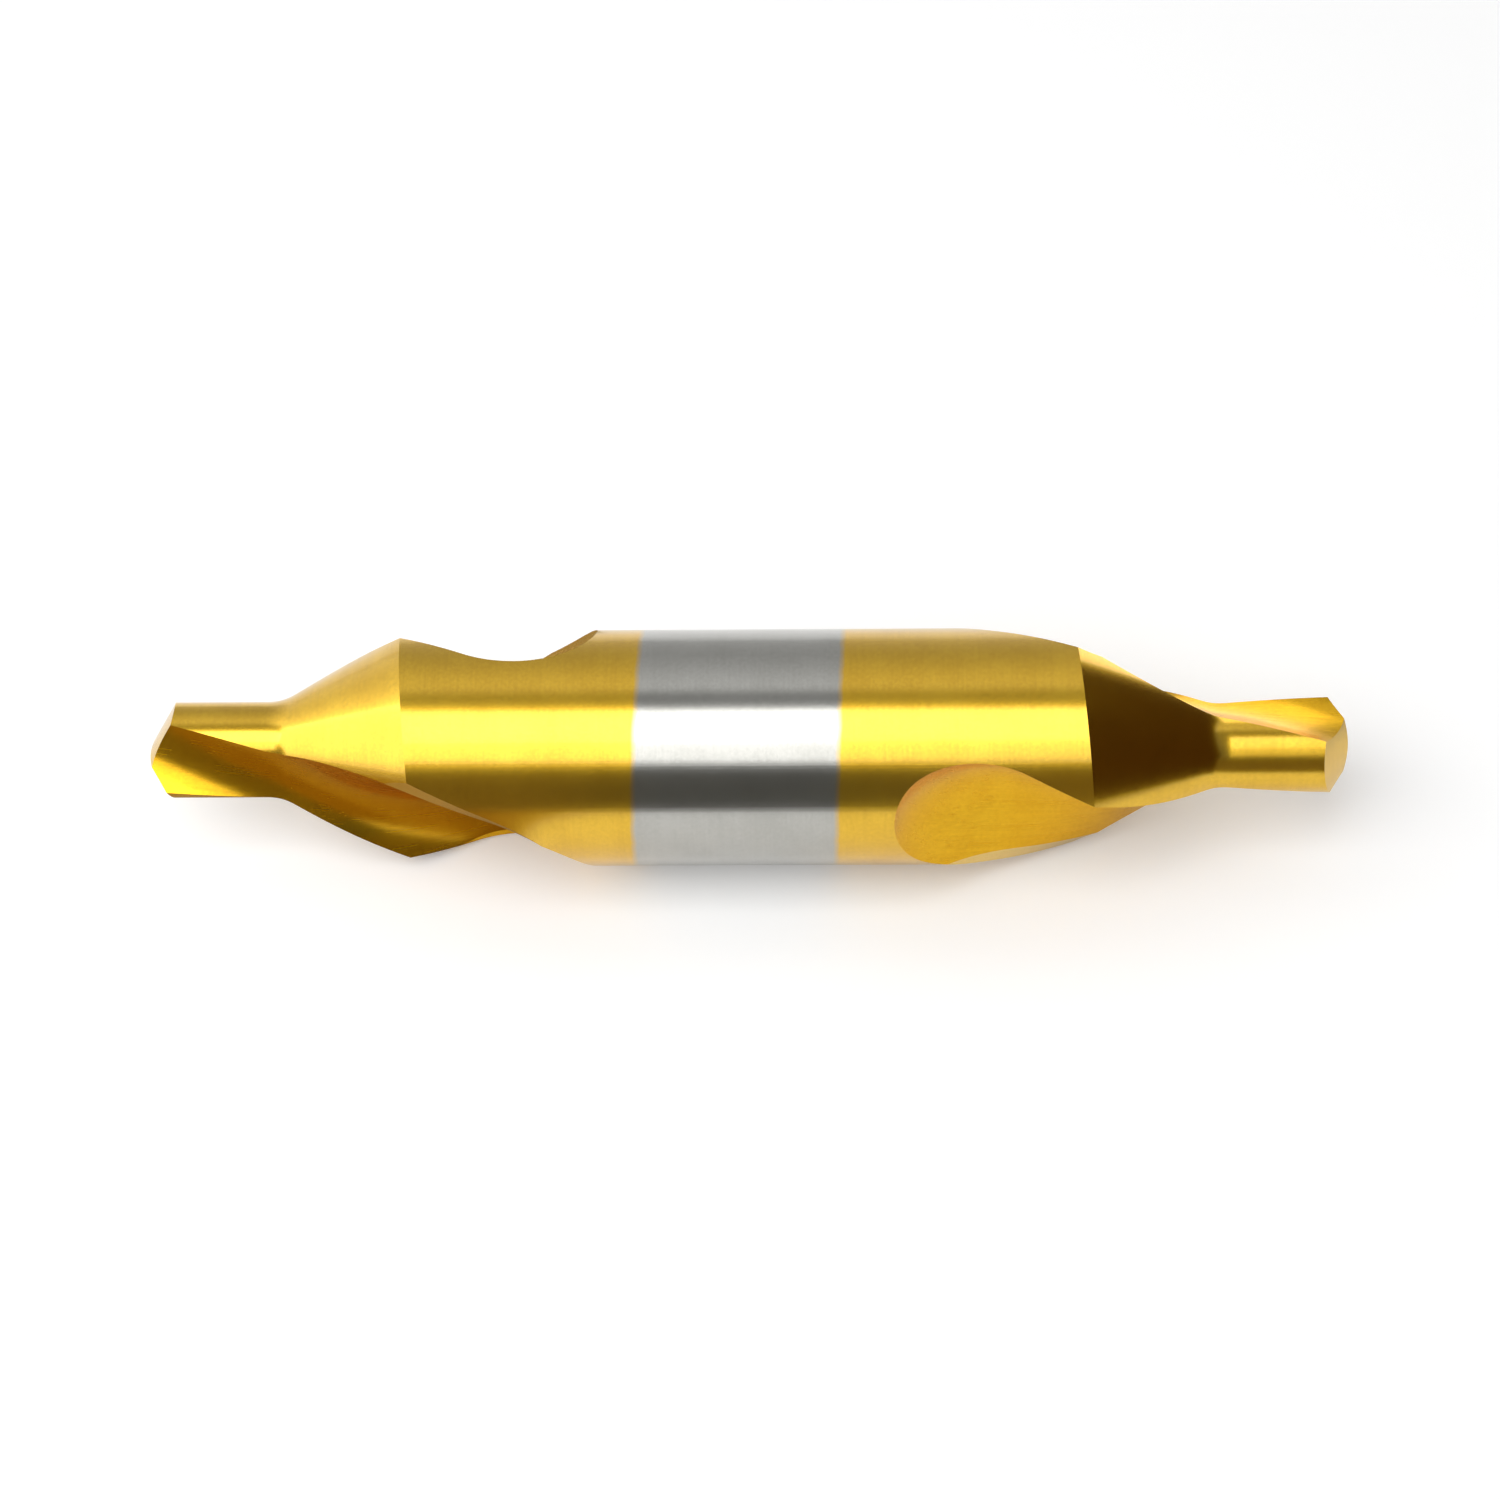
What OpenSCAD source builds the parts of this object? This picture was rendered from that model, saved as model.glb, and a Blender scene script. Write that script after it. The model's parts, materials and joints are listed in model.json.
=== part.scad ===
// Double-ended centre drill: a plain round shank with, at each end, a two-flute
// countersink of 60 degrees that runs out into a thin pilot drill.
// The axis lies along X with the origin at the middle of the shank, +Z up, in mm.

/* [Shank] */
// Diameter of the shank
shank_d = 16; // [14:0.1:18]
// Overall length from point to point
overall_l = 81.2; // [76:0.5:100]

/* [Pilot] */
// Diameter of the pilot
pilot_d = 6.45; // [5.6:0.05:7]
// Length of the pilot from its point to the start of the countersink
pilot_l = 9; // [8:0.1:10]
// Included angle of the pilot's point
point_angle = 118; // [112:1:128]
// Clearance angle of the flanks behind the lips
lip_clearance = 4; // [3:0.5:8]
// Angle from the lips to the chisel edge
chisel_angle = 130; // [122:1:136]
// Radius of the fillet between pilot and countersink
root_r = 3.6; // [2:0.1:5]

/* [Countersink] */
// Included angle of the countersink
sink_angle = 60; // [58:1:66]
// Sideways shift of each relieved land, which lowers its heel
land_shift = 0.4; // [0.1:0.02:0.5]

/* [Flutes] */
// Lead of the right-hand helix
flute_lead = 96; // [84:1:130]
// Length from the point to where the flute leaves the shank
flute_l = 30.6; // [28:0.1:33]
// Thickness of the web at the point
web_d = 2.9; // [2.4:0.1:3.4]
// Gain in web thickness for each mm of the pilot
web_taper = 0.13; // [0.06:0.01:0.18]
// Gain in web thickness behind the pilot
web_step = 2.2; // [1.4:0.1:2.8]
// Length over which the web gains its step
web_run = 7; // [4:0.1:9]
// Radius of the flute on its cutting side
rake_r = 5.2; // [4.4:0.1:5.6]
// Radius of the flute on its heel side, next to its nose
heel_r = 7.8; // [5:0.1:12]
// Slope of the flute's heel side
heel_slope = 14; // [8:0.5:20]
// Distance from the flute's nose to the crest of its heel side
heel_w = 5.6; // [4.6:0.1:6.2]
// Slope at which the heel falls away behind the crest
heel_drop = 16; // [8:0.5:24]
// Radius of the sweep that lifts the flute out of the shank
runout_r = 10.5; // [9:0.5:16]
// Length over which the twist fades in the run-out
runout_fade = 3; // [1:0.1:4]
// Clock angle of the flutes at the left end
left_clock = -135; // [-180:1:180]
// Clock angle of the flutes at the right end
right_clock = -11; // [-180:1:180]

/* [Hidden] */
$fn = 96;
shank_r = shank_d / 2;
pilot_r = pilot_d / 2;
half_sink = sink_angle / 2;
half_point = point_angle / 2;
twist = 360 / flute_lead;

// How far a cutter reaches past what it cuts, and how far a flute lifts clear of the shank
margin = 1;
lift = 0.4;

// Axial place of the corner between countersink and shank
corner_z = pilot_l + (shank_r - pilot_r) / tan(half_sink);

// Half web thickness at z behind the point, before the run-out
function web_gain(z) = sin(90 * min(max((z - pilot_l) / web_run, 0), 1));
function web_at(z) = (web_d + web_taper * min(max(z, 0), pilot_l) + web_step * web_gain(z)) / 2;

// The run-out starts where its sweep is still on the web
runout_rise = shank_r + lift - web_at(flute_l);
runout_z = flute_l - sqrt(pow(runout_r, 2) - pow(runout_r - runout_rise + lift, 2));
runout_end = acos((runout_r - runout_rise) / runout_r);

// Turn of the flute about the axis at z, which fades out as the flute lifts
function turn_at(z) = twist * (z < runout_z ? z
    : runout_z + runout_fade * (1 - exp((runout_z - z) / runout_fade)));

// Angle from the flute's middle to its cutting edge, at radius r and height z
function arc_half(r, c, a) = acos((r * r + c * c - a * a) / (2 * r * c));
function rake_half(r, z) = arc_half(r, web_at(z) + rake_r, rake_r);

// Direction of the relieved land's shift, ahead of its cutting edge half way up the countersink
lead_turn = 30;
sink_z = (pilot_l + corner_z) / 2;
sink_r = (pilot_r + shank_r) / 2;
shift_angle = twist * sink_z + rake_half(sink_r, sink_z) - lead_turn;
// Plane that parts the two lands, kept inside the flutes from point to corner
parting = twist * corner_z / 2;

// Flank cones: their axes stand off the drill's axis along the normal of the chisel edge
rim_z = pilot_r / tan(half_point);
lip_out = sqrt(pow(pilot_r, 2) - pow(web_at(0), 2));
lip_angle = twist * rim_z + rake_half(pilot_r, rim_z) + asin(web_at(0) / pilot_r);
chisel_turn = 180 - chisel_angle;
flank_slope = 1 / tan(half_point);
flank_shift = (tan(lip_clearance) * lip_out + flank_slope * web_at(0))
    / (flank_slope * cos(chisel_turn) - tan(lip_clearance) * sin(chisel_turn));
flank_angle = lip_angle - 90 - chisel_turn;

// Section of the flute cutter in (outward, across): a round cutting side, a nose, a heel side
// that slopes up to a crest, and the fall behind the crest
rake_steps = 12;
arc_steps = 4;
slope_steps = 3;
fall_steps = 4;
arc_w = heel_r * sin(heel_slope);
crest_h = heel_r * (1 - cos(heel_slope)) + (heel_w - arc_w) * tan(heel_slope);
heel_end = shank_r + 2 * margin;
section_h = 1.5 * rake_r;
function flute_section(w) =
    let (out = w + section_h)
    concat(
        [[out, rake_r]],
        [for (i = [rake_steps:-1:0])
            let (t = 90 * i / rake_steps)
            [w + rake_r * (1 - cos(t)), rake_r * sin(t)]],
        [for (i = [1:arc_steps])
            let (t = heel_slope * i / arc_steps)
            [w + heel_r * (1 - cos(t)), -heel_r * sin(t)]],
        [for (i = [1:slope_steps])
            let (y = arc_w + (heel_w - arc_w) * i / slope_steps)
            [w + crest_h - (heel_w - y) * tan(heel_slope), -y]],
        [for (i = [1:fall_steps])
            let (y = heel_w + (heel_end - heel_w) * i / fall_steps)
            [w + crest_h - (y - heel_w) * tan(heel_drop), -y]],
        [[out, -heel_end]]
    );

// Stations along the flute as [height, nose distance from the axis]
start_z = -2 * margin;
straight_steps = 20;
runout_steps = 16;
stations = concat(
    [for (i = [0:straight_steps])
        let (z = start_z + (runout_z - start_z) * i / straight_steps)
        [z, web_at(z)]],
    [for (i = [1:runout_steps])
        let (
            a = runout_end * i / runout_steps,
            z = runout_z + runout_r * sin(a)
        )
        [z, web_at(z) + runout_r * (1 - cos(a))]]
);

function turned(p, a, z) = [
    p[0] * cos(a) - p[1] * sin(a),
    p[0] * sin(a) + p[1] * cos(a),
    z
];

// One helical flute as a solid to cut away
module flute() {
    rings = [for (s = stations) [for (p = flute_section(s[1])) turned(p, turn_at(s[0]), s[0])]];
    n = len(rings[0]);
    last = len(rings) - 1;
    sides = [for (i = [0:last - 1], j = [0:n - 1])
        let (
            a = i * n + j,
            b = i * n + (j + 1) % n,
            c = b + n,
            d = a + n
        )
        each [[a, d, c], [a, c, b]]];
    caps = [
        [for (j = [0:n - 1]) j],
        [for (j = [n - 1:-1:0]) last * n + j]
    ];
    polyhedron(points = [for (ring = rings) each ring], faces = concat(sides, caps), convexity = 4);
}

// Outline of pilot, fillet and countersink, drawn in by the shift at the cutting edge
fillet_steps = 8;
inset = land_shift * cos(lead_turn);
fillet_z = pilot_l - root_r * tan(half_sink / 2);
brim_r = shank_r + 2 * margin;
brim_z = pilot_l + (brim_r - pilot_r) / tan(half_sink);

module end_outline() {
    polygon(concat(
        [[0, start_z], [pilot_r - inset, start_z]],
        [for (i = [0:fillet_steps])
            let (t = half_sink * i / fillet_steps)
            [pilot_r - inset + root_r * (1 - cos(t)), fillet_z + root_r * sin(t)]],
        [[brim_r - inset, brim_z], [brim_r - inset, brim_z + margin], [0, brim_z + margin]]
    ));
}

// What is ground off around one land
module land_waste() {
    difference() {
        rotate(parting)
            translate([-brim_r - margin, 0, -margin])
                cube([2 * (brim_r + margin), brim_r + margin, brim_z + margin]);
        rotate(shift_angle)
            translate([land_shift, 0, 0])
                rotate_extrude()
                    end_outline();
    }
}

// What is ground off above one flank of the point
module flank_waste() {
    side = 2 * pilot_r + margin;
    depth = 1.2 * pilot_r;
    reach = 3 * pilot_r;
    difference() {
        translate([-side / 2, -side / 2, -margin])
            cube([side, side, margin + depth]);
        rotate(flank_angle)
            translate([flank_shift, 0, -flank_shift * flank_slope])
                cylinder(r1 = 0, r2 = reach / flank_slope, h = reach);
    }
}

// Places a cut made with the point at the origin and the drill along +Z at the left or right end
module left_end() {
    rotate([left_clock, 0, 0])
        translate([-overall_l / 2, 0, 0])
            rotate([0, 90, 0])
                children();
}

module right_end() {
    rotate([right_clock, 0, 0])
        translate([overall_l / 2, 0, 0])
            rotate([0, -90, 0])
                children();
}

// Round bar with the lands of both ends ground to shape
module ground_blank() {
    difference() {
        translate([-overall_l / 2, 0, 0])
            rotate([0, 90, 0])
                cylinder(d = shank_d, h = overall_l);
        left_end() land_waste();
        left_end() rotate(180) land_waste();
        right_end() land_waste();
        right_end() rotate(180) land_waste();
    }
}

// The same with both points ground
module pointed_blank() {
    difference() {
        ground_blank();
        left_end() flank_waste();
        left_end() rotate(180) flank_waste();
        right_end() flank_waste();
        right_end() rotate(180) flank_waste();
    }
}

module centre_drill() {
    color("goldenrod")
        difference() {
            pointed_blank();
            left_end() flute();
            left_end() rotate(180) flute();
            right_end() flute();
            right_end() rotate(180) flute();
        }
}

centre_drill();
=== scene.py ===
import json
from math import acos, asin, cos, exp, pi, radians, sin, sqrt, tan

import bmesh
import bpy
from mathutils import Euler, Matrix, Vector

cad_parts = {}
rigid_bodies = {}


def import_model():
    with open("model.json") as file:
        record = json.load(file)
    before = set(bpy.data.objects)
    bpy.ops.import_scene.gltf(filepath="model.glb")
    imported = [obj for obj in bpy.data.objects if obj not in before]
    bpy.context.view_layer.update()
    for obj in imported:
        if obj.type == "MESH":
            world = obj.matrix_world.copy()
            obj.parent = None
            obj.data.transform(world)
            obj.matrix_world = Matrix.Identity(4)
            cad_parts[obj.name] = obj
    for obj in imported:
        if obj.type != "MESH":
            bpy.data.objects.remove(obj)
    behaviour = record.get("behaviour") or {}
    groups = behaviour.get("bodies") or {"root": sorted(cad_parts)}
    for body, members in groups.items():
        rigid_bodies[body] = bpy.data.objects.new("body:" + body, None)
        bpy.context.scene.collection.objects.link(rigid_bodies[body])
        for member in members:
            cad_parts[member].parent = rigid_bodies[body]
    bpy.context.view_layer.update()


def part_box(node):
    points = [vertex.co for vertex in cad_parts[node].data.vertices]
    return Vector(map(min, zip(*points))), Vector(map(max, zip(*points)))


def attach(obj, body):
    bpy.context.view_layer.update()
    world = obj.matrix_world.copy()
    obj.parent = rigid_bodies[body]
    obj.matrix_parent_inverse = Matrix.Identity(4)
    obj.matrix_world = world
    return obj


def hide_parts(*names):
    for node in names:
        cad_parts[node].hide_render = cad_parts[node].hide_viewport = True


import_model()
print("frame loaded")

mm = 0.001
mmPerMetre = 1000
weldGap = 1e-7      # corners of a cutter nearer than this, in metres, are one
hairGap = 1e-8      # edges of a cutter shorter than this collapse
white = (1, 1, 1, 1)
scene = bpy.context.scene
scene.view_settings.view_transform = "Standard"

drillLow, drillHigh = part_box("centre_drill")
overallLength = drillHigh.x - drillLow.x
shankRadius = (drillHigh.z - drillLow.z) / 2


# Form of the drill: lengths in mm, angles in degrees
drillForm = {
    "pilotDiameter": 6.45,
    "pilotLength": 9.0,
    "pointAngle": 118.0,
    "lipClearance": 4.0,
    "chiselAngle": 130.0,
    "rootRadius": 3.6,      # fillet between pilot and countersink
    "sinkAngle": 60.0,
    "landShift": 0.4,       # relief of the lands
    "leadTurn": 30.0,       # the shift points this far ahead of the cutting edge
    "fluteLead": 96.0,
    "fluteLength": 30.6,
    "webThickness": 2.9,    # at the point
    "webTaper": 0.13,       # along the pilot
    "webStep": 2.2,         # gain behind the pilot
    "webRun": 7.0,          # length of that gain
    "rakeRadius": 5.2,
    "heelRadius": 7.8,
    "heelSlope": 14.0,
    "heelWidth": 5.6,       # from the nose to the crest
    "heelDrop": 16.0,       # fall behind the crest
    "runoutRadius": 10.5,
    "runoutFade": 3.0,      # length over which the twist fades
    "runoutClear": 0.4,     # the flute ends this far outside the shank
    "leftClock": -135.0,
    "rightClock": -11.0,
    "overreach": 2.0,       # cutters reach this far past what they cut
    "ringWall": 1.0,        # wall of the land cutter outside its brim
    "landLap": 0.05,        # the two land cutters lap inside the flutes
    "flankOverreach": 3.0,  # flank cutter ahead of the point
    "flankReach": 2.5,      # its radius, in pilot radii
    "sectionOut": 1.5,      # depth of the flute's section, in rake radii
    "roundSteps": 256,      # faces round the shank
    "rakeSteps": 28,
    "arcSteps": 8,
    "slopeSteps": 10,
    "fallSteps": 14,
    "straightSteps": 64,
    "runoutSteps": 48,
    "filletSteps": 12,
    "mergeGap": 0.002,      # corners of the drill nearer than this become one
    "sliver": 0.001,        # edges of the drill shorter than this collapse
    "sharpAngle": 18.0,     # edges steeper than this stay crisp
}

pilotRadius = drillForm["pilotDiameter"] * mm / 2
pilotLength = drillForm["pilotLength"] * mm
halfSink = radians(drillForm["sinkAngle"] / 2)
halfPoint = radians(drillForm["pointAngle"] / 2)
twist = radians(360) / (drillForm["fluteLead"] * mm)
fluteLength = drillForm["fluteLength"] * mm
rakeRadius = drillForm["rakeRadius"] * mm
heelRadius = drillForm["heelRadius"] * mm
runoutRadius = drillForm["runoutRadius"] * mm
runoutFade = drillForm["runoutFade"] * mm
runoutClear = drillForm["runoutClear"] * mm
overreach = drillForm["overreach"] * mm
cornerPlace = pilotLength + (shankRadius - pilotRadius) / tan(halfSink)


def webAt(place):
    # Half the web's thickness at a place behind the point
    run = min(max((place - pilotLength) / (drillForm["webRun"] * mm), 0), 1)
    taper = drillForm["webTaper"] * min(max(place, 0), pilotLength)
    gain = drillForm["webStep"] * mm * sin(radians(90) * run)
    return (drillForm["webThickness"] * mm + taper + gain) / 2


# The flute lifts out of the shank on an arc that starts on the web
runoutRise = shankRadius + runoutClear - webAt(fluteLength)
runoutReach = runoutRadius - runoutRise + runoutClear
runoutStart = fluteLength - sqrt(runoutRadius ** 2 - runoutReach ** 2)
runoutSweep = acos((runoutRadius - runoutRise) / runoutRadius)


def turnAt(place):
    # Turn of the flute about the axis, which fades out as the flute lifts
    if place < runoutStart:
        return twist * place
    return twist * (runoutStart + runoutFade * (1 - exp((runoutStart - place) / runoutFade)))


def rakeHalf(radius, place):
    # Angle from the flute's middle to its cutting edge
    centre = webAt(place) + rakeRadius
    return acos((radius ** 2 + centre ** 2 - rakeRadius ** 2) / (2 * radius * centre))


def steps(first, last, count):
    return [first + (last - first) * i / count for i in range(count + 1)]


def newObject(name, bm, material):
    mesh = bpy.data.meshes.new(name)
    bm.to_mesh(mesh)
    bm.free()
    mesh.materials.append(material)
    item = bpy.data.objects.new(name, mesh)
    scene.collection.objects.link(item)
    return item


def spun(profile):
    # Closed outline of (radius, height) pairs turned about Z into a solid
    bm = bmesh.new()
    ring = [bm.verts.new((radius, 0, height)) for radius, height in profile]
    for a, b in zip(ring, ring[1:] + ring[:1]):
        bm.edges.new((a, b))
    bmesh.ops.spin(
        bm, geom=bm.verts[:] + bm.edges[:], axis=(0, 0, 1), cent=(0, 0, 0),
        angle=radians(360), steps=drillForm["roundSteps"], use_merge=True,
    )
    bmesh.ops.remove_doubles(bm, verts=bm.verts[:], dist=weldGap)
    bmesh.ops.dissolve_degenerate(bm, edges=bm.edges[:], dist=hairGap)
    bmesh.ops.recalc_face_normals(bm, faces=bm.faces[:])
    return bm


def barSolid(material):
    # Plain bar along X, as long as the drill; the points are cut from its ends
    half = overallLength / 2
    bm = spun([(0, -half), (shankRadius, -half), (shankRadius, half), (0, half)])
    bmesh.ops.rotate(bm, verts=bm.verts[:], matrix=Matrix.Rotation(radians(90), 3, "Y"))
    return newObject("drillPiece", bm, material)


def landWaste(place, material):
    # What is ground off round one land: half a ring outside the shifted pilot, fillet and countersink
    landShift = drillForm["landShift"] * mm
    leadTurn = radians(drillForm["leadTurn"])
    rootRadius = drillForm["rootRadius"] * mm
    neckRadius = pilotRadius - landShift * cos(leadTurn)
    filletPlace = pilotLength - rootRadius * tan(halfSink / 2)
    brimRadius = shankRadius + overreach
    brimPlace = pilotLength + (brimRadius - pilotRadius) / tan(halfSink)
    wallRadius = brimRadius + drillForm["ringWall"] * mm
    outline = [(neckRadius, -overreach)]
    for t in steps(0, halfSink, drillForm["filletSteps"]):
        outline.append((neckRadius + rootRadius * (1 - cos(t)), filletPlace + rootRadius * sin(t)))
    outline.append((brimRadius - landShift * cos(leadTurn), brimPlace))
    outline += [(wallRadius, brimPlace), (wallRadius, -overreach)]
    bm = spun(outline)
    sinkPlace = (pilotLength + cornerPlace) / 2
    sinkRadius = (pilotRadius + shankRadius) / 2
    shiftTurn = twist * sinkPlace + rakeHalf(sinkRadius, sinkPlace) - leadTurn
    shift = Matrix.Rotation(shiftTurn, 4, "Z") @ Matrix.Translation((landShift, 0, 0))
    bmesh.ops.transform(bm, matrix=shift, verts=bm.verts[:])
    # The two halves part inside the flutes, where they lap over each other a little
    parting = twist * cornerPlace / 2
    normal = Vector((-sin(parting), cos(parting), 0))
    cut = bmesh.ops.bisect_plane(
        bm, geom=bm.verts[:] + bm.edges[:] + bm.faces[:], dist=hairGap,
        plane_co=normal * -drillForm["landLap"] * mm, plane_no=normal, clear_inner=True,
    )
    rim = [e for e in cut["geom_cut"] if isinstance(e, bmesh.types.BMEdge)]
    bmesh.ops.holes_fill(bm, edges=rim)
    bmesh.ops.recalc_face_normals(bm, faces=bm.faces[:])
    bmesh.ops.transform(bm, matrix=place, verts=bm.verts[:])
    return newObject("landWaste", bm, material)


def flankWaste(place, material):
    # What is ground off above one flank: the outside of a cone that stands off the axis
    rimPlace = pilotRadius / tan(halfPoint)
    web = webAt(0)
    lipOut = sqrt(pilotRadius ** 2 - web ** 2)
    lipTurn = twist * rimPlace + rakeHalf(pilotRadius, rimPlace) + asin(web / pilotRadius)
    chiselTurn = radians(180 - drillForm["chiselAngle"])
    slope = 1 / tan(halfPoint)
    clearance = tan(radians(drillForm["lipClearance"]))
    fall = slope * cos(chiselTurn) - clearance * sin(chiselTurn)
    flankShift = (clearance * lipOut + slope * web) / fall
    flankTurn = lipTurn - radians(90) - chiselTurn
    reach = drillForm["flankReach"] * pilotRadius
    ahead = -drillForm["flankOverreach"] * mm
    bm = spun([(0, ahead), (0, 0), (reach, reach * slope), (reach, ahead)])
    shift = Matrix.Rotation(flankTurn, 4, "Z") @ Matrix.Translation((flankShift, 0, -flankShift * slope))
    bmesh.ops.transform(bm, matrix=place @ shift, verts=bm.verts[:])
    return newObject("flankWaste", bm, material)


def fluteStations():
    # Places along the flute with the nose's distance from the axis
    stations = [(p, webAt(p)) for p in steps(-overreach, runoutStart, drillForm["straightSteps"])]
    for lift in steps(0, runoutSweep, drillForm["runoutSteps"])[1:]:
        p = runoutStart + runoutRadius * sin(lift)
        stations.append((p, webAt(p) + runoutRadius * (1 - cos(lift))))
    return stations


def stationMatrix(station):
    place, nose = station
    return Matrix.Rotation(turnAt(place), 4, "Z") @ Matrix.Translation((nose, 0, place))


def fluteSection(crestWidth):
    # Outward and across from the nose: round cutting side, heel side up to the crest, fall behind it
    out = drillForm["sectionOut"] * rakeRadius
    slope = radians(drillForm["heelSlope"])
    drop = radians(drillForm["heelDrop"])
    arcWidth = heelRadius * sin(slope)
    crestRise = heelRadius * (1 - cos(slope)) + (crestWidth - arcWidth) * tan(slope)
    endWidth = shankRadius + overreach
    section = [(out, rakeRadius)]
    for t in steps(radians(90), 0, drillForm["rakeSteps"]):
        section.append((rakeRadius * (1 - cos(t)), rakeRadius * sin(t)))
    for t in steps(0, slope, drillForm["arcSteps"])[1:]:
        section.append((heelRadius * (1 - cos(t)), -heelRadius * sin(t)))
    for width in steps(arcWidth, crestWidth, drillForm["slopeSteps"])[1:]:
        section.append((crestRise - (crestWidth - width) * tan(slope), -width))
    for width in steps(crestWidth, endWidth, drillForm["fallSteps"])[1:]:
        section.append((crestRise - (width - crestWidth) * tan(drop), -width))
    section.append((out, -endWidth))
    return section


def fluteCutter(place, fluteCoat, heelCoat):
    # The section is swept up the helix ring by ring
    crestWidth = drillForm["heelWidth"] * mm
    stations = fluteStations()
    bm = bmesh.new()
    ring = [bm.verts.new((x, y, 0)) for x, y in fluteSection(crestWidth)]
    edges = [bm.edges.new((a, b)) for a, b in zip(ring, ring[1:] + ring[:1])]
    bmesh.ops.transform(bm, matrix=stationMatrix(stations[0]), verts=bm.verts[:])
    bmesh.ops.contextual_create(bm, geom=edges)
    for before, after in zip(stations, stations[1:]):
        grown = bmesh.ops.extrude_edge_only(bm, edges=edges)["geom"]
        fresh = [g for g in grown if isinstance(g, bmesh.types.BMVert)]
        edges = [g for g in grown if isinstance(g, bmesh.types.BMEdge) and all(v in fresh for v in g.verts)]
        step = stationMatrix(after) @ stationMatrix(before).inverted()
        bmesh.ops.transform(bm, matrix=step, verts=fresh)
    bmesh.ops.contextual_create(bm, geom=edges)
    bmesh.ops.recalc_face_normals(bm, faces=bm.faces[:])
    for face in bm.faces:
        middle = face.calc_center_median()
        across = middle.y * cos(turnAt(middle.z)) - middle.x * sin(turnAt(middle.z))
        face.material_index = int(across < -crestWidth)    # the fall behind the crest
    bmesh.ops.transform(bm, matrix=place, verts=bm.verts[:])
    cutter = newObject("fluteCutter", bm, fluteCoat)
    cutter.data.materials.append(heelCoat)
    return cutter


def carve(body, name, cutters):
    # Cuts all the cutters from the body at once and clears them away
    group = bpy.data.collections.new(name)
    scene.collection.children.link(group)
    for cutter in cutters:
        scene.collection.objects.unlink(cutter)
        group.objects.link(cutter)
    cut = body.modifiers.new(name, "BOOLEAN")
    cut.operation = "DIFFERENCE"
    cut.solver = "EXACT"
    cut.operand_type = "COLLECTION"
    cut.collection = group
    cut.material_mode = "TRANSFER"
    bpy.context.view_layer.update()
    shaped = bpy.data.meshes.new_from_object(body.evaluated_get(bpy.context.evaluated_depsgraph_get()))
    body.modifiers.clear()
    body.data = shaped
    for cutter in list(group.objects):
        bpy.data.objects.remove(cutter)
    bpy.data.collections.remove(group)
    print("carved", name, len(shaped.polygons), "faces")


def makeDrill(groundCoat, fluteCoat, heelCoat):
    # Each end is cut with its point at the origin and the drill along +Z, then placed
    left = (
        Matrix.Rotation(radians(drillForm["leftClock"]), 4, "X")
        @ Matrix.Translation((-overallLength / 2, 0, 0))
        @ Matrix.Rotation(radians(90), 4, "Y")
    )
    right = (
        Matrix.Rotation(radians(drillForm["rightClock"]), 4, "X")
        @ Matrix.Translation((overallLength / 2, 0, 0))
        @ Matrix.Rotation(radians(-90), 4, "Y")
    )
    halfTurn = Matrix.Rotation(radians(180), 4, "Z")
    places = [end @ turn for end in (left, right) for turn in (Matrix.Identity(4), halfTurn)]
    drill = barSolid(groundCoat)
    carve(drill, "lands", [landWaste(p, groundCoat) for p in places])
    carve(drill, "flanks", [flankWaste(p, groundCoat) for p in places])
    carve(drill, "flutes", [fluteCutter(p, fluteCoat, heelCoat) for p in places])
    bm = bmesh.new()
    bm.from_mesh(drill.data)
    bmesh.ops.remove_doubles(bm, verts=bm.verts[:], dist=drillForm["mergeGap"] * mm)
    bmesh.ops.dissolve_degenerate(bm, edges=bm.edges[:], dist=drillForm["sliver"] * mm)
    for face in bm.faces:
        face.smooth = True
    for edge in bm.edges:
        edge.smooth = edge.calc_face_angle(0) < radians(drillForm["sharpAngle"])
    bm.to_mesh(drill.data)
    bm.free()
    return drill


# Shader nodes

def addNode(tree, kind, inputs=(), **settings):
    node = tree.nodes.new("ShaderNode" + kind)
    for name, value in settings.items():
        setattr(node, name, value)
    for key, value in dict(inputs).items():
        if isinstance(value, bpy.types.NodeSocket):
            tree.links.new(value, node.inputs[key])
        else:
            node.inputs[key].default_value = value
    return node


def calc(tree, operation, *values):
    return addNode(tree, "Math", enumerate(values), operation=operation).outputs[0]


def remap(tree, value, low, high, toLow=0, toHigh=1, **settings):
    inputs = enumerate((value, low, high, toLow, toHigh))
    return addNode(tree, "MapRange", inputs, **settings).outputs[0]


def noise(tree, place, look):
    return addNode(tree, "TexNoise", {"Vector": place, **look}).outputs[0]


def mixed(tree, factor, first, second):
    return addNode(tree, "Mix", {0: factor, 2: first, 3: second}).outputs[0]


def blend(tree, factor, first, second, mode="MIX"):
    # Like mixed, for colours
    inputs = {0: factor, 6: first, 7: second}
    return addNode(tree, "Mix", inputs, data_type="RGBA", blend_type=mode).outputs[2]


def inMm(tree, place, shares=(1, 1, 1)):
    # A place in mm, with each axis drawn in to its share
    scale = [mmPerMetre * share for share in shares]
    return addNode(tree, "Mapping", {"Vector": place, "Scale": scale}).outputs[0]


def newMaterial(name):
    material = bpy.data.materials.new(name)
    material.use_nodes = True
    return material


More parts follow.
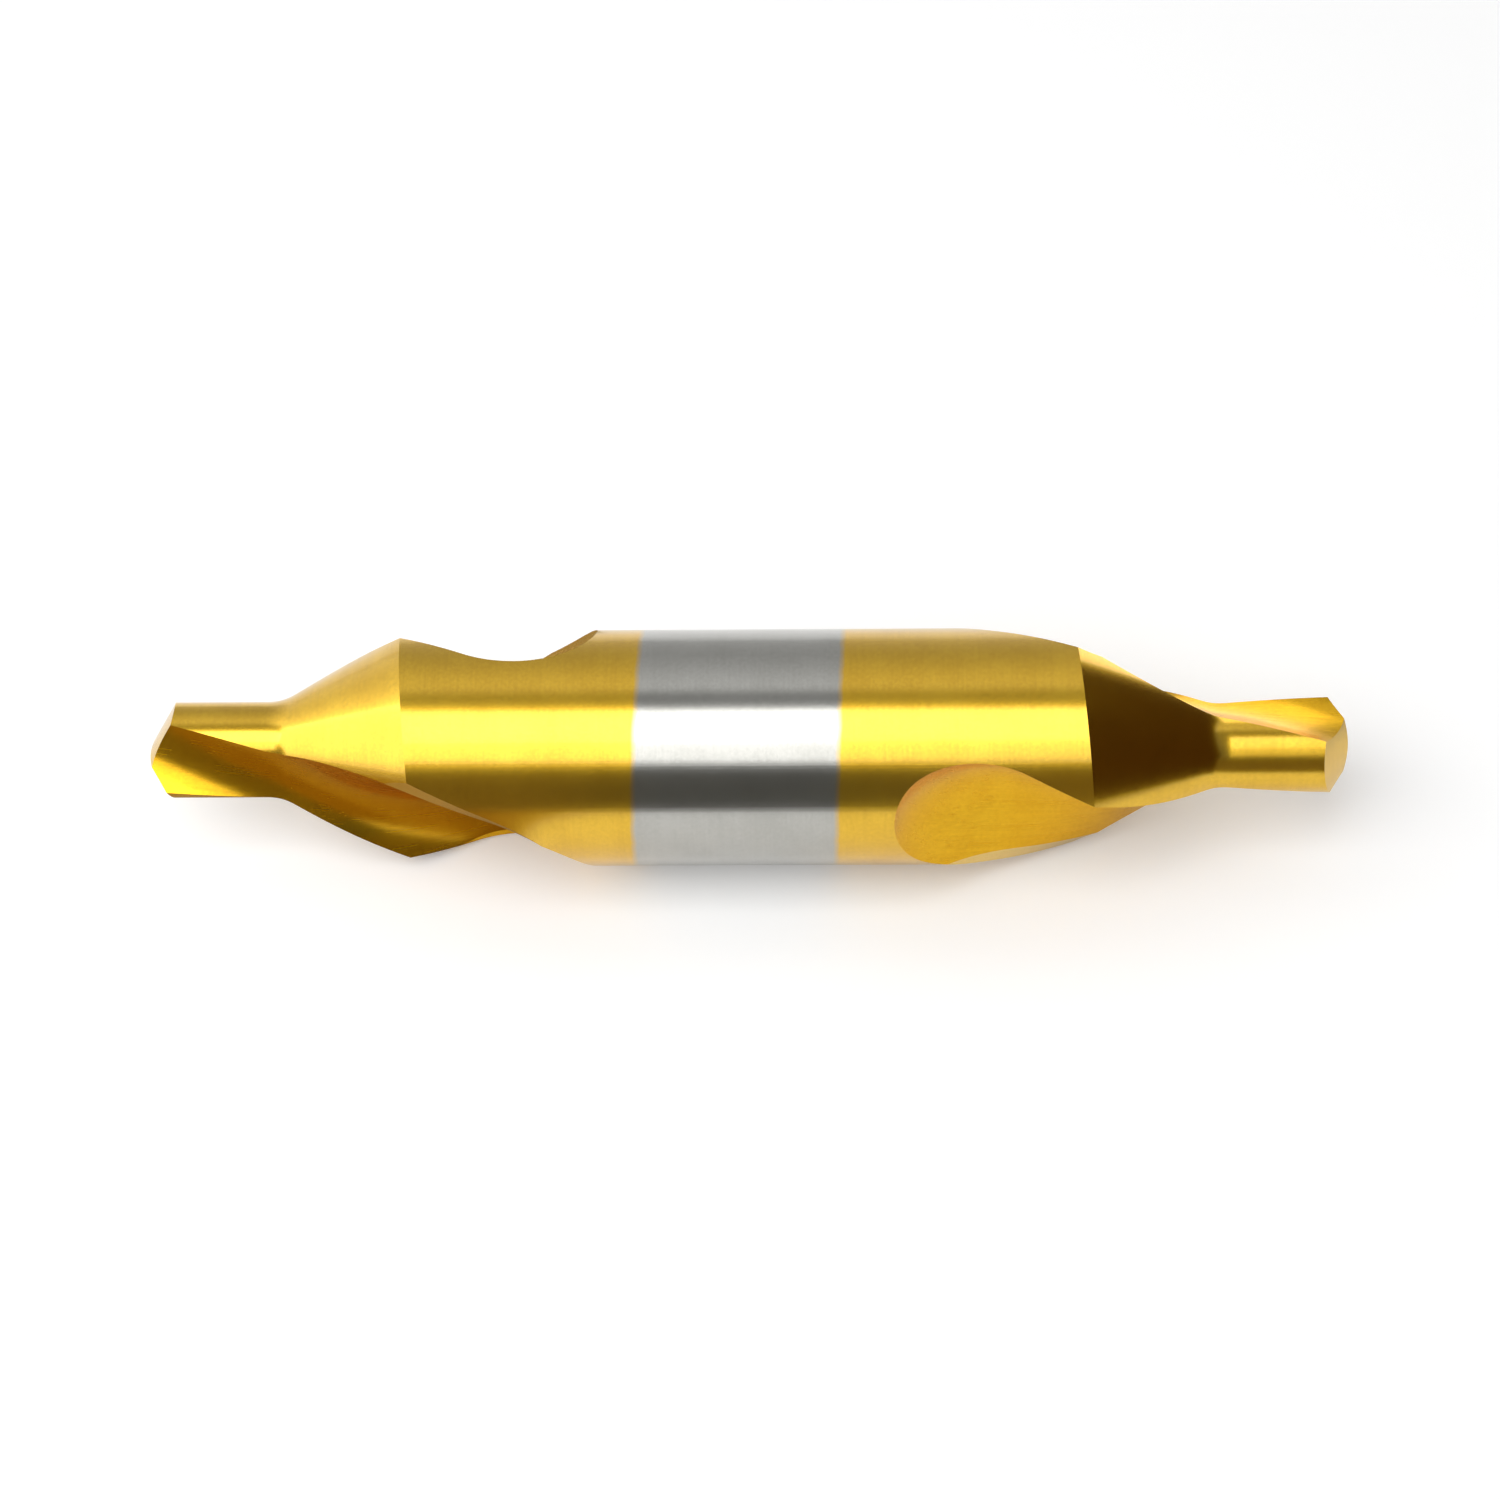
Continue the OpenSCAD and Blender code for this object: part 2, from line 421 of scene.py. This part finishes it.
# Grinding lines, a satin grain and a slow drift of tone, with scales for each mm
finishLook = {
    "fine": {"Scale": 6.0, "Detail": 1.0, "Roughness": 0.5},
    "broad": {"Scale": 1.6, "Detail": 2.0, "Roughness": 0.5},
    "grain": {"Scale": 4.0, "Detail": 2.0, "Roughness": 0.6},
    "drift": {"Scale": 0.35, "Detail": 3.0, "Roughness": 0.55},
    "broadShare": 0.35,     # of the broad lines among the lines
    "lineShare": 0.4,       # of the lines among the streaks
    "streakShare": 0.6,     # of the streaks in the tone
    "toneRange": (0.4, 0.6),
    "lineRange": (0.3, 0.7),
}


def makeGroundFinish():
    # Takes places in mm, plain and drawn in along the strokes
    look = finishLook
    group = bpy.data.node_groups.new("groundFinish", "ShaderNodeTree")
    face = group.interface
    for name in ("Position", "Stroke"):
        face.new_socket(name, in_out="INPUT", socket_type="NodeSocketVector")
    for name in ("Line Depth", "Grain Depth"):
        face.new_socket(name, in_out="INPUT", socket_type="NodeSocketFloat")
    for name in ("Lines", "Tone", "Height"):
        face.new_socket(name, in_out="OUTPUT", socket_type="NodeSocketFloat")
    source = group.nodes.new("NodeGroupInput").outputs
    fine = noise(group, source["Stroke"], look["fine"])
    broad = noise(group, source["Stroke"], look["broad"])
    lines = mixed(group, look["broadShare"], fine, broad)
    grain = noise(group, source["Position"], look["grain"])
    drift = noise(group, source["Position"], look["drift"])
    streaks = mixed(group, look["lineShare"], grain, lines)
    mottle = mixed(group, look["streakShare"], drift, streaks)
    tone = remap(group, mottle, *look["toneRange"])
    cut = calc(group, "MULTIPLY", lines, source["Line Depth"])
    height = calc(group, "MULTIPLY_ADD", grain, source["Grain Depth"], cut)
    sink = group.nodes.new("NodeGroupOutput").inputs
    group.links.new(lines, sink["Lines"])
    group.links.new(tone, sink["Tone"])
    group.links.new(height, sink["Height"])
    return group


def placeFinish(tree, finish, position, stroke, look):
    inputs = {
        "Position": position,
        "Stroke": stroke,
        "Line Depth": look["lineDepth"],
        "Grain Depth": look["grainDepth"],
    }
    return addNode(tree, "Group", inputs, node_tree=finish).outputs


def metalShader(material, color, roughness, height, look):
    tree = material.node_tree
    shader = tree.nodes["Principled BSDF"]
    bump = addNode(tree, "Bump", {"Strength": 1.0, "Distance": look["relief"], "Height": height})
    tree.links.new(color, shader.inputs["Base Color"])
    tree.links.new(roughness, shader.inputs["Roughness"])
    tree.links.new(bump.outputs[0], shader.inputs["Normal"])
    shader.inputs["Metallic"].default_value = 1
    for name, value in look["coat"].items():
        shader.inputs[name].default_value = value


# Ground surfaces: gold coat at both ends, bare steel band round the middle
groundLook = {
    "gold": (0.88, 0.54, 0.030, 1),
    "goldDeep": (0.78, 0.46, 0.020, 1),
    "steel": (0.51, 0.505, 0.47, 1),
    "steelDeep": (0.46, 0.455, 0.42, 1),
    "thinCoat": (0.60, 0.46, 0.27, 1),      # where the coat fades into the band
    "fringeTint": 1.6,                      # strength of that tint
    "goldRoughness": 0.24,
    "steelRoughness": 0.20,
    "roughnessSpread": 0.02,
    "bandLeft": -7.2 * mm,
    "bandRight": 6.35 * mm,
    "bandSoft": 0.5 * mm,
    "bandLean": (-0.0272, -0.0204),         # of the edges, along Y and Z
    "bandWander": 0.22 * mm,
    "wander": {"Scale": 0.7, "Detail": 4.0},
    "strokeSqueeze": 0.03,                  # lines run round the axis
    "lineDepth": 0.1,
    "grainDepth": 0.6,
    "relief": 1.8e-6,
    "coat": {"Coat Weight": 0.8, "Coat Roughness": 0.12, "Coat IOR": 1.5},
}


def makeGroundCoat(finish):
    look = groundLook
    material = newMaterial("groundCoat")
    tree = material.node_tree
    place = addNode(tree, "TexCoord").outputs["Object"]
    position = inMm(tree, place)
    stroke = inMm(tree, place, (1, look["strokeSqueeze"], look["strokeSqueeze"]))
    surface = placeFinish(tree, finish, position, stroke, look)

    # The band's edges lean a little and wander
    leaning = (1, *look["bandLean"])
    along = addNode(tree, "VectorMath", {0: place, 1: leaning}, operation="DOT_PRODUCT").outputs["Value"]
    wander = noise(tree, position, look["wander"])
    edge = calc(tree, "MULTIPLY_ADD", wander, look["bandWander"], along)
    drawn = look["bandWander"] / 2
    half = look["bandSoft"] / 2
    sides = []
    for middle, low, high in ((look["bandLeft"], 0, 1), (look["bandRight"], 1, 0)):
        start = middle + drawn - half
        end = middle + drawn + half
        sides.append(remap(tree, edge, start, end, low, high, interpolation_type="SMOOTHSTEP"))
    bare = calc(tree, "MULTIPLY", *sides)
    rest = calc(tree, "SUBTRACT", 1, bare)
    fringe = calc(tree, "MULTIPLY", bare, rest)
    tint = calc(tree, "MULTIPLY", fringe, look["fringeTint"])

    gold = blend(tree, surface["Tone"], look["gold"], look["goldDeep"])
    steel = blend(tree, surface["Tone"], look["steel"], look["steelDeep"])
    color = blend(tree, tint, blend(tree, bare, gold, steel), look["thinCoat"])
    level = mixed(tree, bare, look["goldRoughness"], look["steelRoughness"])
    swing = look["roughnessSpread"] / 2
    spread = remap(tree, surface["Lines"], *finishLook["lineRange"], -swing, swing)
    roughness = calc(tree, "ADD", level, spread)
    metalShader(material, color, roughness, surface["Height"], look)
    return material


# Flutes: gold coat over coarser lines that follow the helix
fluteLook = {
    "gold": (0.86, 0.49, 0.012, 1),
    "goldDeep": (0.77, 0.41, 0.006, 1),
    "roughness": 0.25,
    "roughnessSpread": 0.08,
    "strokeSqueeze": 0.03,
    "lineDepth": 1.2,
    "grainDepth": 0.6,
    "relief": 1.5e-6,
    "coat": {"Coat Weight": 0.3, "Coat Roughness": 0.2, "Coat IOR": 1.5},
}

# Strip behind the crest of each flute, coloured a paler, less orange gold than the rest of the flute
heelLook = {
    **fluteLook,
    "gold": (0.92, 0.69, 0.23, 1),
    "goldDeep": (0.87, 0.62, 0.18, 1),
    "roughness": 0.22,
}


def makeFluteCoat(finish, name, look):
    material = newMaterial(name)
    tree = material.node_tree
    place = addNode(tree, "TexCoord").outputs["Object"]
    position = inMm(tree, place)
    # Turning each section back by the helix makes the lines run along X
    length = addNode(tree, "SeparateXYZ", {0: place}).outputs["X"]
    turn = calc(tree, "MULTIPLY", length, -twist)
    straight = addNode(tree, "VectorRotate", {"Vector": place, "Angle": turn}, rotation_type="X_AXIS")
    stroke = inMm(tree, straight.outputs[0], (look["strokeSqueeze"], 1, 1))
    surface = placeFinish(tree, finish, position, stroke, look)
    color = blend(tree, surface["Tone"], look["gold"], look["goldDeep"])
    low = look["roughness"] - look["roughnessSpread"] / 2
    high = look["roughness"] + look["roughnessSpread"] / 2
    roughness = remap(tree, surface["Lines"], *finishLook["lineRange"], low, high)
    metalShader(material, color, roughness, surface["Height"], look)
    return material


groundFinish = makeGroundFinish()
drill = makeDrill(
    makeGroundCoat(groundFinish),
    makeFluteCoat(groundFinish, "fluteCoat", fluteLook),
    makeFluteCoat(groundFinish, "heelCoat", heelLook),
)
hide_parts("centre_drill")
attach(drill, "root")


# Floor, light and camera, in metres and degrees

paperRoughness = 0.9

floorPaper = {
    "reach": 6,
    "color": (0.9, 0.9, 0.9, 1),
    "nearGlow": 0.2,            # lifts the paper to white round the drill
    "farGlow": 0.8,             # and at the horizon
    "glowReach": (0.15, 0.6),
    "mirrorShare": 0.2,         # part of the glow that the metal sees
}


def mattShader(material, color):
    shader = material.node_tree.nodes["Principled BSDF"]
    shader.inputs["Base Color"].default_value = color
    shader.inputs["Roughness"].default_value = paperRoughness
    shader.inputs["Specular IOR Level"].default_value = 0
    return shader


def makeFloor():
    bm = bmesh.new()
    bmesh.ops.create_grid(bm, x_segments=1, y_segments=1, size=floorPaper["reach"])
    bmesh.ops.translate(bm, verts=bm.verts[:], vec=(0, 0, -shankRadius))
    material = newMaterial("floorPaper")
    tree = material.node_tree
    shader = mattShader(material, floorPaper["color"])
    path = addNode(tree, "LightPath").outputs
    mirror = calc(tree, "MAXIMUM", path["Is Glossy Ray"], path["Is Transmission Ray"])
    seen = calc(tree, "MULTIPLY_ADD", mirror, floorPaper["mirrorShare"], path["Is Camera Ray"])
    place = addNode(tree, "TexCoord").outputs["Object"]
    away = addNode(tree, "VectorMath", {0: place}, operation="LENGTH").outputs["Value"]
    glow = remap(tree, away, *floorPaper["glowReach"], floorPaper["nearGlow"], floorPaper["farGlow"])
    strength = calc(tree, "MULTIPLY", glow, seen)
    shader.inputs["Emission Color"].default_value = white
    tree.links.new(strength, shader.inputs["Emission Strength"])
    newObject("floor", bm, material)


# Cards that only the metal sees, in its reflections: the dark ones paint shade into the reflections, and
# those lying on the floor stand in for shaded floor round and under the drill. A glowing white one behind
# the right-hand tip paints a bright reflection there.
reflectionCards = {
    # painted shade: a dark brown upright sheet in front, seen only in reflections, for the dark band along
    # the front of the metal
    "frontShadeCard": {
        "place": (0.09, -0.07, 0.0185),
        "turn": (90, 0, 0),
        "size": (0.42, 0.053),
        "color": (0.22, 0.18, 0.11, 1),
    },
    # painted shade: a brown sheet on the floor at the left front, seen only in reflections, standing in for
    # darker floor there
    "leftShadeCard": {
        "place": (-0.216, -0.212, -0.0075),
        "turn": (0, 0, 0),
        "size": (0.4, 0.4),
        "color": (0.28, 0.17, 0.05, 1),
    },
    # painted shade: a brown sheet on the floor under the drill, seen only in reflections, standing in for
    # the shaded floor there
    "underShadeCard": {
        "place": (-0.028, -0.0045, -0.0075),
        "turn": (0, 0, 0),
        "size": (0.026, 0.015),
        "color": (0.4, 0.29, 0.13, 1),
    },
    # painted shade: a brown sheet on the floor behind the left end, seen only in reflections
    "backShadeCard": {
        "place": (-0.0205, 0.0235, -0.0075),
        "turn": (0, 0, 0),
        "size": (0.018, 0.016),
        "color": (0.34, 0.27, 0.12, 1),
    },
    # painted shade: a near-black upright sheet at the right, seen only in reflections, which darkens the
    # right-hand cone
    "rightShadeCard": {
        "place": (0.06, 0.01, 0.016),
        "turn": (0, 90, 0),
        "size": (0.048, 0.1),
        "color": (0.045, 0.02, 0.007, 1),
    },
    # painted shade: a dark grey upright sheet in front of the steel band, seen only in reflections, for the
    # band's dark zone
    "bandShadeCard": {
        "place": (-0.001, -0.069, 0.0185),
        "turn": (90, 0, 0),
        "size": (0.03, 0.053),
        "color": (0.14, 0.138, 0.13, 1),
    },
    # painted reflection: a white sheet that glows though it is no lamp, seen only in reflections, which
    # brightens the right-hand tip
    "tipGlowCard": {
        "place": (0.0365, 0.03, 0.012),
        "turn": (90, 0, 0),
        "size": (0.015, 0.04),
        "color": (0.95, 0.95, 0.95, 1),
        "glow": 1.0,
    },
}


def makeReflectionCards():
    for name, card in reflectionCards.items():
        material = newMaterial(name)
        shader = mattShader(material, card["color"])
        shader.inputs["Emission Color"].default_value = card["color"]
        shader.inputs["Emission Strength"].default_value = card.get("glow", 0)
        bm = bmesh.new()
        bmesh.ops.create_grid(bm, x_segments=1, y_segments=1, size=0.5)
        bmesh.ops.scale(bm, verts=bm.verts[:], vec=(*card["size"], 1))
        turn = Euler([radians(t) for t in card["turn"]]).to_matrix()
        bmesh.ops.rotate(bm, verts=bm.verts[:], matrix=turn)
        bmesh.ops.translate(bm, verts=bm.verts[:], vec=card["place"])
        item = newObject(name, bm, material)
        # seen only in the metal's reflections: hidden from the camera, from diffuse light and from shadows
        item.visible_camera = False
        item.visible_diffuse = False
        item.visible_shadow = False


# Panels of soft light; level is the brightness of a panel's face
lamps = {
    "softbox": {
        "place": (-0.25, -0.31, 0.5),
        "turn": (0, 0, 0),
        "size": (0.68, 0.65),
        "level": 1.8,
    },
    "softboxCore": {
        "place": (-0.25, -0.15, 0.495),
        "turn": (0, 0, 0),
        "size": (0.66, 0.28),
        "level": 1.1,
    },
    "sidePanel": {
        "place": (-0.55, -0.085, 0.265),
        "turn": (0, -90, 0),
        "size": (0.47, 0.43),
        "level": 1.7,
    },
}


def makeLamps():
    for name, panel in lamps.items():
        light = bpy.data.lights.new(name, "AREA")
        light.shape = "RECTANGLE"
        light.size, light.size_y = panel["size"]
        light.energy = panel["level"] * pi * light.size * light.size_y
        lamp = bpy.data.objects.new(name, light)
        lamp.location = panel["place"]
        lamp.rotation_euler = [radians(t) for t in panel["turn"]]
        lamp.visible_camera = False
        scene.collection.objects.link(lamp)


room = {
    # Light from the front horizon (0) over the top (0.5) to the back horizon (1)
    "arc": [
        (0.0, 0.15), (0.2, 0.15), (0.53, 0.25), (0.585, 0.25), (0.635, 0.78),
        (0.72, 0.62), (0.79, 0.5), (0.87, 0.42), (1.0, 0.5),
    ],
    # and its share from the left (0) to the right (1)
    "side": [(0.0, 1.0), (0.16, 0.98), (0.3, 0.68), (0.42, 0.526), (1.0, 0.526)],
    "level": 1.9,
}


def levelRamp(tree, place, levels):
    ramp = addNode(tree, "ValToRGB", {0: place})
    stops = ramp.color_ramp.elements
    while len(stops) < len(levels):
        stops.new(0.5)
    for stop, (position, level) in zip(stops, levels):
        stop.position = position
        stop.color = (level, level, level, 1)
    return ramp.outputs[0]


def makeWorld():
    world = bpy.data.worlds.new("studioRoom")
    scene.world = world
    world.use_nodes = True
    tree = world.node_tree
    direction = addNode(tree, "TexCoord").outputs["Generated"]
    split = addNode(tree, "SeparateXYZ", {0: direction}).outputs
    front = calc(tree, "MULTIPLY", split["Y"], -1)
    angle = calc(tree, "ARCTAN2", split["Z"], front)
    arc = levelRamp(tree, calc(tree, "DIVIDE", angle, pi), room["arc"])
    side = levelRamp(tree, calc(tree, "MULTIPLY_ADD", split["X"], 0.5, 0.5), room["side"])
    light = blend(tree, 1, arc, side, "MULTIPLY")
    # The camera sees plain white behind the floor
    path = addNode(tree, "LightPath").outputs
    seen = blend(tree, path["Is Camera Ray"], light, white)
    level = mixed(tree, path["Is Camera Ray"], room["level"], 1)
    background = tree.nodes["Background"]
    tree.links.new(seen, background.inputs["Color"])
    tree.links.new(level, background.inputs["Strength"])


cameraSettings = {
    "elevation": 53.8,          # above the floor, seen from -Y
    "swing": 2.0,               # towards the right-hand end
    "roll": -0.27,
    "distance": 0.293,
    "frameSize": 1500,          # pixels
    "pixelsPerMm": 14.748,      # at the drill's axis
    "origin": (746.6, 747.3),   # pixel of the drill's middle
    "sensorWidth": 36,
    "clipStart": 0.01,
}


def makeCamera():
    rise, swing, roll = (radians(cameraSettings[key]) for key in ("elevation", "swing", "roll"))
    back = Vector((sin(swing), -cos(swing) * cos(rise), cos(swing) * sin(rise)))
    level = Vector((cos(swing), sin(swing) * cos(rise), -sin(swing) * sin(rise)))
    up = Vector((0, sin(rise), cos(rise)))
    across = level * cos(roll) + up * sin(roll)
    upright = up * cos(roll) - level * sin(roll)
    distance = cameraSettings["distance"]
    pixel = mm / cameraSettings["pixelsPerMm"]
    frameMiddle = cameraSettings["frameSize"] / 2
    originRight, originDown = cameraSettings["origin"]
    data = bpy.data.cameras.new("camera")
    data.sensor_width = cameraSettings["sensorWidth"]
    data.lens = data.sensor_width * distance / (cameraSettings["frameSize"] * pixel)
    data.clip_start = cameraSettings["clipStart"]
    camera = bpy.data.objects.new("camera", data)
    place = back * distance
    place += across * (frameMiddle - originRight) * pixel
    place += upright * (originDown - frameMiddle) * pixel
    camera.matrix_world = Matrix.Translation(place) @ Matrix((across, upright, back)).transposed().to_4x4()
    scene.collection.objects.link(camera)
    scene.camera = camera


makeFloor()
makeReflectionCards()
makeLamps()
makeWorld()
makeCamera()
print("studio set")
